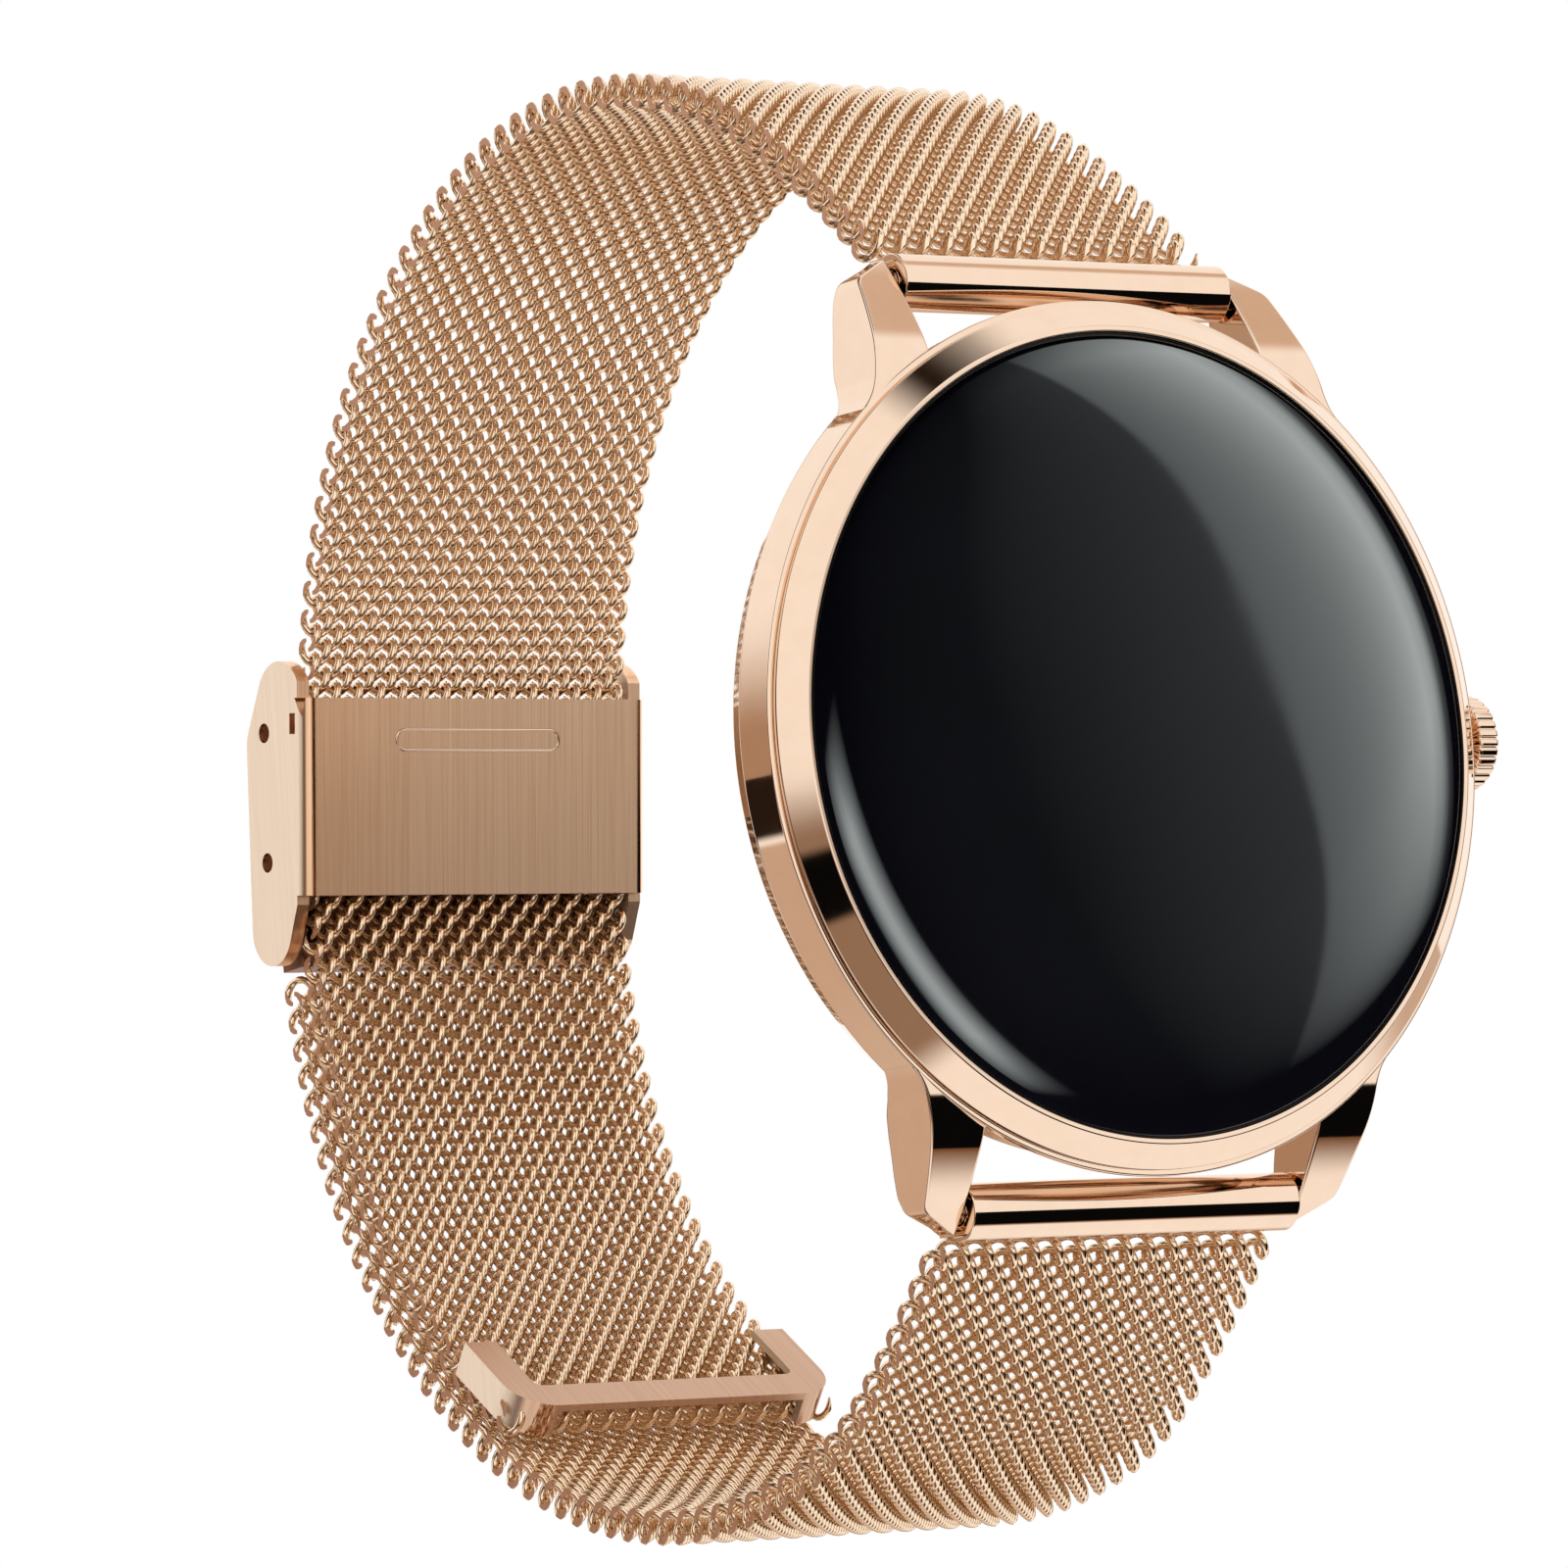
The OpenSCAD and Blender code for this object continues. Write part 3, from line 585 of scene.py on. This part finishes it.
class StrapPath:
    """The middle line of one half of the strap, looked up by distance along it."""

    def __init__(self, points, normals):
        points, normals = to_model(points), to_model(normals, False)
        steps = np.linalg.norm(np.diff(points, axis=0), axis=1)
        keep = np.concatenate(([True], steps > 1e-6))
        self.points, self.normals = points[keep], normals[keep]
        steps = np.linalg.norm(np.diff(self.points, axis=0), axis=1)
        self.distance = np.concatenate(([0.0], np.cumsum(steps)))
        self.length = self.distance[-1]

    def look_up(self, along, values):
        return np.stack([np.interp(along, self.distance, values[:, i]) for i in (0, 1)], -1)

    def place(self, x, along, out):
        """Model points at x across, a distance along, and out from the middle line."""
        yz = self.look_up(along, self.points) + self.look_up(along, self.normals) * out[:, None]
        return np.concatenate((x[:, None], yz), -1)


def upper_path():
    tail, tail_out = turn_points(TAIL_TURNS, (TAIL_T, LOWER_BEND_S), True)
    rise, rise_out = turn_points(UPPER_TURNS, (TAIL_T, UPPER_BEND_S), False)
    return StrapPath(np.concatenate((tail[::-1], rise)), np.concatenate((tail_out[::-1], rise_out)))


def lower_path():
    points, normals = turn_points(LOWER_TURNS, (TAIL_T + LAYER_PITCH, LOWER_BEND_S), True)
    skipped = int(math.radians(LOWER_START) * LOWER_TURNS[0][0] / PATH_STEP)
    return StrapPath(points[skipped:], normals[skipped:])


# ---- Woven mesh ----
def coil_mesh(path, centre, phase):
    """Wire of one flattened coil that runs across the strap at a distance along the path."""
    half = MESH_WIDTH / 2 + OVERRUN
    turns = 2 * half / TURN_PITCH
    theta = np.linspace(0, 2 * math.pi * turns, int(turns * TURN_STEPS) + 1) + phase
    x = -half + (theta - phase) / (2 * math.pi) * TURN_PITCH
    line = path.place(x, centre + COIL_ALONG * np.cos(theta), COIL_NORMAL * np.sin(theta))
    ahead = np.gradient(line, axis=0)
    ahead /= np.linalg.norm(ahead, axis=1, keepdims=True)
    middle = path.place(x, np.full_like(x, centre), np.zeros_like(x))
    out = line - middle
    out -= ahead * np.sum(out * ahead, 1, keepdims=True)
    out /= np.linalg.norm(out, axis=1, keepdims=True)
    side = np.cross(ahead, out)
    around = 2 * math.pi * np.arange(WIRE_SIDES) / WIRE_SIDES
    ring = np.cos(around)[None, :, None] * out[:, None] + np.sin(around)[None, :, None] * side[:, None]
    points = (line[:, None] + WIRE_R * ring).reshape(-1, 3)
    starts = np.arange(len(line) - 1)[:, None] * WIRE_SIDES
    a = (starts + np.arange(WIRE_SIDES)).ravel()
    b = (starts + (np.arange(WIRE_SIDES) + 1) % WIRE_SIDES).ravel()
    return points, np.stack((a, b, b + WIRE_SIDES, a + WIRE_SIDES), 1)


def grind_edges(piece):
    """Cuts the wires flat at both edges of the strap and closes the cuts."""
    bm = bmesh.new()
    bm.from_mesh(piece.data)
    for side in (-1, 1):
        whole = list(bm.verts) + list(bm.edges) + list(bm.faces)
        cut = bmesh.ops.bisect_plane(
            bm, geom=whole, plane_co=(side * (MESH_WIDTH / 2 - GRIND_DEPTH) * MM, 0, 0),
            plane_no=(side, 0, 0), clear_outer=True, dist=1e-8)
        edges = [e for e in cut["geom_cut"] if isinstance(e, bmesh.types.BMEdge)]
        caps = bmesh.ops.edgeloop_fill(bm, edges=edges)["faces"]
        for cap in caps:
            cap.material_index = 1
            cap.smooth = False
            if cap.normal.x * side < 0:
                cap.normal_flip()
            for edge in cap.edges:
                edge.smooth = False
    bm.to_mesh(piece.data)
    bm.free()


def weave(name, path, bare, body, node):
    """Coils along the path, but for its bare ends, in pieces of even size."""
    first, last = bare[0], path.length - bare[1]
    count = int(round((last - first) / COIL_PITCH)) + 1
    pieces = math.ceil(count / COILS_PER_PIECE)
    centres = np.linspace(first, last, count)
    for part, chosen in enumerate(np.array_split(np.arange(count), pieces)):
        points, faces, total = [], [], 0
        for k in chosen:
            wire, quads = coil_mesh(path, centres[k], EDGE_PHASE + math.pi * (k % 2))
            points.append(wire)
            faces.append(quads + total)
            total += len(wire)
        piece = make_piece(
            f"{name}_{part + 1}", np.concatenate(points), np.concatenate(faces).tolist(),
            body, [node], [WIRE, CUT_WIRE])
        grind_edges(piece)


# ---- Glass ----
def domed_glass():
    """The cover glass with a dome that falls away faster near its edge."""
    low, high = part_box("cover_glass")
    radius, apex, back = high.x / MM, low.y / MM, high.y / MM
    rise, steps = 0.85, 60
    outline = [(0.0, apex)]
    for k in range(1, steps + 1):
        share = k / steps
        fall = rise * (0.42 * share ** 2 + 0.58 * share ** 9)
        outline.append((radius * share, apex + fall))
    outline += [(radius, back), (0.0, back)]
    points, faces = lathe(outline, (0, 0, 0), "y", 256, closed=False)
    piece = make_piece("domed_cover_glass", points, faces, "case", ["cover_glass"], [GLASS])
    fix_normals(piece)
    return piece


# ---- Studio ----
def card(name, lit, low, high, before, after, levels, ends):
    """A light panel 1 m away that only the pieces in the collection lit reflect.

    Its edge runs from the direction low to the direction high. It reaches before metres to the left of that
    edge and after metres to the right, and levels gives its strength at shares of the way across. It fades
    over the share ends at its top and at its bottom.
    """
    low, high = Vector(low).normalized(), Vector(high).normalized()
    middle = (low + high).normalized()
    along = (high - low - middle * (high - low).dot(middle)).normalized()
    across = along.cross(middle)
    if across.x < 0:
        across.negate()
    half = (high - low).length / 2
    corners = [middle + along * v + across * u for u, v in (
        (-before, -half), (after, -half), (after, half), (-before, half))]
    mesh = bpy.data.meshes.new(name)
    mesh.from_pydata([tuple(c) for c in corners], [], [(0, 1, 2, 3)])
    spread = mesh.uv_layers.new(name="spread")
    for loop, uv in zip(spread.data, ((0, 0), (1, 0), (1, 1), (0, 1))):
        loop.uv = uv
    panel = bpy.data.objects.new(name, mesh)
    bpy.context.scene.collection.objects.link(panel)
    material, tree = empty_material(name)
    place = split(tree, tree.nodes.new("ShaderNodeTexCoord").outputs["UV"])
    peak = max(level for _, level in levels)
    level = level_ramp(tree, place["X"], [(share, level / peak) for share, level in levels])
    rise = remap(tree, place["Y"], 0.0, 1.0, 0.0, ends)
    fall = remap(tree, place["Y"], 1.0, 0.0, 1.0 - ends, 1.0)
    fade = calculate(tree, "MULTIPLY", rise, fall)
    strength = calculate(tree, "MULTIPLY", calculate(tree, "MULTIPLY", fade, level), peak)
    glow = tree.nodes.new("ShaderNodeEmission")
    glow.inputs["Color"].default_value = (0.93, 1.0, 0.98, 1)
    tree.links.new(strength, glow.inputs["Strength"])
    see_through = tree.nodes.new("ShaderNodeBsdfTransparent")
    add = tree.nodes.new("ShaderNodeAddShader")
    output = tree.nodes.new("ShaderNodeOutputMaterial")
    tree.links.new(glow.outputs["Emission"], add.inputs[0])
    tree.links.new(see_through.outputs["BSDF"], add.inputs[1])
    tree.links.new(add.outputs["Shader"], output.inputs["Surface"])
    mesh.materials.append(material)
    panel.visible_camera = panel.visible_diffuse = panel.visible_shadow = False
    panel.light_linking.receiver_collection = lit


class Sky:
    """Colours of the light tent, by the angle about the watch's X axis and by the side.

    The angle is in degrees, 0 in front of the dial, 90 above and 180 behind. The side runs from -1 to 1,
    on the crown's side.
    """

    def __init__(self, colour):
        self.material, self.tree = empty_material("light_tent")
        where = self.tree.nodes.new("ShaderNodeTexCoord")
        unit = self.tree.nodes.new("ShaderNodeVectorMath")
        unit.operation = "NORMALIZE"
        self.tree.links.new(where.outputs["Object"], unit.inputs[0])
        parts = split(self.tree, unit.outputs["Vector"])
        turn = calculate(self.tree, "ARCTAN2", parts["Z"], calculate(self.tree, "MULTIPLY", parts["Y"], -1.0))
        self.side = parts["X"]
        self.angle = calculate(self.tree, "MULTIPLY", turn, 180 / math.pi)
        base = self.tree.nodes.new("ShaderNodeRGB")
        base.outputs[0].default_value = (*colour, 1)
        self.colour = base.outputs[0]

    def ramp(self, value, start, end):
        """0 before start and 1 after end, with a smooth step between."""
        node = self.tree.nodes.new("ShaderNodeMapRange")
        node.interpolation_type = "SMOOTHSTEP"
        node.inputs["From Min"].default_value = start
        node.inputs["From Max"].default_value = end
        self.tree.links.new(value, node.inputs["Value"])
        return node.outputs["Result"]

    def ramp_down(self, value, start, end):
        return calculate(self.tree, "SUBTRACT", 1.0, self.ramp(value, start, end))

    def band(self, low, high, soft_low, soft_high, colour, left=None, right=None):
        """Paints angles from low to high, only between the sides left and right where they are given."""
        masks = [
            self.ramp(self.angle, low, low + soft_low),
            self.ramp_down(self.angle, high - soft_high, high)]
        if left is not None:
            masks.append(self.ramp(self.side, left, left + 0.2))
        if right is not None:
            masks.append(self.ramp_down(self.side, right - 0.2, right))
        mask = masks[0]
        for other in masks[1:]:
            mask = calculate(self.tree, "MULTIPLY", mask, other)
        mix = self.tree.nodes.new("ShaderNodeMix")
        mix.data_type = "RGBA"
        mix.inputs["B"].default_value = (*colour, 1)
        self.tree.links.new(mask, mix.inputs["Factor"])
        self.tree.links.new(self.colour, mix.inputs["A"])
        self.colour = mix.outputs["Result"]

    def finish(self, strength):
        glow = self.tree.nodes.new("ShaderNodeEmission")
        glow.inputs["Strength"].default_value = strength
        output = self.tree.nodes.new("ShaderNodeOutputMaterial")
        self.tree.links.new(self.colour, glow.inputs["Color"])
        self.tree.links.new(glow.outputs["Emission"], output.inputs["Surface"])
        return self.material


def light_tent(unlit):
    """A sphere round the whole stage that lights all but the unlit pieces, and that no camera sees."""
    sky = Sky((1.0, 0.975, 0.95))
    sky.band(-60, 60, 20, 20, (0.16, 0.10, 0.065), left=0.64)
    sky.band(-180.1, 180.1, 0.1, 0.1, (0.08, 0.05, 0.03), right=-0.74)
    sky.band(80, 140, 20, 20, (0.10, 0.06, 0.04), right=0.35)
    sky.band(-140, -80, 20, 20, (0.12, 0.07, 0.05), right=0.35)
    sky.band(-60, 0, 4, 20, (0.30, 0.20, 0.14), right=0.1)
    sky.band(-64, -5, 9, 2, (0.20, 0.10, 0.05), left=-0.1)
    sky.band(-55, -5, 2, 2, (0.003, 0.003, 0.003), left=-0.1)
    sky.band(-38, -21, 2, 3, (0.003, 0.003, 0.003), right=0.0)
    sky.band(58, 90, 14, 9, (0.66, 0.50, 0.39), left=0.4)
    sky.band(58, 86, 12, 12, (0.02, 0.012, 0.007), left=-0.15, right=0.42)
    sky.band(152, 180.1, 20, 0.1, (0.42, 0.27, 0.18), right=0.0)
    sky.band(-180.1, -168, 0.1, 1.5, (0.02, 0.012, 0.008), right=0.0)
    sky.band(-168, -120, 1, 30, (0.60, 0.45, 0.35))
    bm = bmesh.new()
    bmesh.ops.create_icosphere(bm, subdivisions=4, radius=4.0)
    mesh = bpy.data.meshes.new("light_tent")
    bm.to_mesh(mesh)
    bm.free()
    mesh.materials.append(sky.finish(1.08))
    tent = bpy.data.objects.new("light_tent", mesh)
    bpy.context.scene.collection.objects.link(tent)
    tent.visible_camera = False
    tent.visible_shadow = False
    tent.light_linking.receiver_collection = unlit


def receivers(name, pieces):
    """A collection of pieces for light linking."""
    group = bpy.data.collections.new(name)
    for piece in pieces:
        group.objects.link(piece)
    return group


def studio(glass):
    """White world, light tent, three cards and a pale floor."""
    world = bpy.data.worlds.new("studio")
    bpy.context.scene.world = world
    world.use_nodes = True
    background = world.node_tree.nodes["Background"]
    background.inputs["Color"].default_value = (1, 1, 1, 1)
    background.inputs["Strength"].default_value = 1.0
    glass_only = receivers("lit_by_softboxes", [glass])
    clasp_only = receivers(
        "lit_by_left_softbox", [nodes[n] for n in ("clasp_base", "clasp_cover", "tail_clip")])
    all_but_glass = receivers("lit_by_tent", [glass])
    all_but_glass.collection_objects[0].light_linking.link_state = "EXCLUDE"
    light_tent(all_but_glass)
    card("right_softbox", glass_only, (0.75, -0.732, -0.20), (0.40, -0.74, 0.62), 0.42, 0.40, (
        (0.0, 0.0), (0.38, 0.1), (0.508, 0.7), (0.513, 2.3), (0.66, 6.0), (0.78, 8.4), (0.86, 6.5),
        (0.94, 1.2), (1.0, 0.3)), 0.27)
    card("low_softbox", glass_only, (0.44, -0.86, -0.30), (0.15, -0.985, 0.10), 0.10, 0.10, (
        (0.0, 0.0), (0.40, 8.5), (0.55, 9.0), (1.0, 0.0)), 0.25)
    card("left_softbox", clasp_only, (-0.72, 0.65, -0.55), (-0.72, 0.65, 0.75), 0.55, 0.55, (
        (0.0, 0.0), (0.25, 0.95), (0.75, 0.95), (1.0, 0.0)), 0.2)
    bpy.ops.mesh.primitive_circle_add(vertices=96, radius=3.9, fill_type="NGON", location=(0, 0, -0.25))
    floor = bpy.context.object
    floor.name = "floor"
    floor.data.materials.append(plastic("pale_floor", (0.86, 0.86, 0.86), (0.88, 0.88, 0.88), 0.7, 0.8, 5))
    floor.visible_glossy = False


def camera():
    """The photo's camera, with its axes turned from azimuth, elevation and roll."""
    azimuth, elevation, roll = (math.radians(a) for a in (-35.047, -5.737, -4.042))
    place = Vector((-254.26, -340.61, -43.20)) * MM
    data = bpy.data.cameras.new("camera")
    data.sensor_width, data.lens = 36.0, 202.18
    data.clip_start, data.clip_end = 0.01, 20
    view = bpy.data.objects.new("camera", data)
    bpy.context.scene.collection.objects.link(view)
    back = Vector((
        math.sin(azimuth) * math.cos(elevation), -math.cos(azimuth) * math.cos(elevation),
        math.sin(elevation)))
    right = Vector((math.cos(azimuth), math.sin(azimuth), 0))
    up = back.cross(right)
    across = math.cos(roll) * right + math.sin(roll) * up
    upright = math.cos(roll) * up - math.sin(roll) * right
    view.matrix_world = Matrix((
        (across.x, upright.x, back.x, place.x),
        (across.y, upright.y, back.y, place.y),
        (across.z, upright.z, back.z, place.z),
        (0, 0, 0, 1)))
    bpy.context.scene.camera = view


camera()
bpy.context.scene.view_settings.view_transform = "Standard"
dress_cad_nodes()
case_ring()
lugs()
bezel()
studio(domed_glass())
end_tube("upper_strap_tube", 1, "upper_strap", "upper_end_tube")
end_tube("lower_strap_tube", -1, "lower_strap", "lower_end_tube")
fluted_crown()
floor_bead()
for softened in ("clasp_base", "clasp_cover", "tail_clip", "case_back", "hook_bar", "clasp_pin"):
    soften(softened)
weave("upper_weave", upper_path(), UPPER_BARE, "upper_strap", "upper_mesh")
weave("lower_weave", lower_path(), LOWER_BARE, "lower_strap", "lower_mesh")
